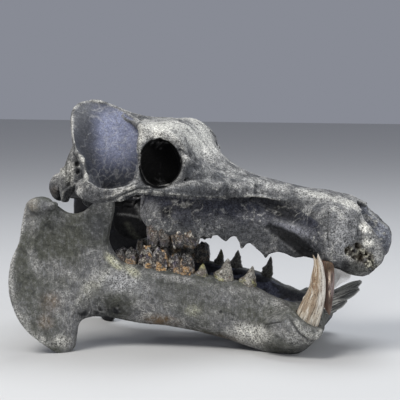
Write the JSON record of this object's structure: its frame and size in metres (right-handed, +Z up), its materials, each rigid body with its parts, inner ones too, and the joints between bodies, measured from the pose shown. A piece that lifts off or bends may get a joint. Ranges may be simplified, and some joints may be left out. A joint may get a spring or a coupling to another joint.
{
  "type": "fossil hippopotamus skull",
  "caption": "Life-size fossil hippopotamus skull with its lower jaw, tusks, incisors and worn cheek teeth, resting on the angles and chin of the jaw.",
  "frame": {"origin": "on the floor, under the middle of the skull's bounding box", "axes": "+X towards the muzzle, +Y to the animal's left, +Z up"},
  "size_m": [0.5752, 0.3456, 0.3923],
  "materials": {
    "fossil_bone": "matte mottled grey mineralised bone",
    "tusk_ivory": "satin cream ivory with brown streaks",
    "incisor_enamel": "satin grey-brown striated enamel"
  },
  "bodies": {
    "root": {"cranium": "fossil_bone", "muzzle": "fossil_bone", "zygomatic_arch_left": "fossil_bone", "zygomatic_arch_right": "fossil_bone", "mandible_left": "fossil_bone", "mandible_right": "fossil_bone", "lower_tusk_left": "tusk_ivory", "lower_tusk_right": "tusk_ivory", "lower_incisor_left_1": "incisor_enamel", "lower_incisor_left_2": "incisor_enamel", "lower_incisor_right_1": "incisor_enamel", "lower_incisor_right_2": "incisor_enamel"}
  },
  "joints": []
}
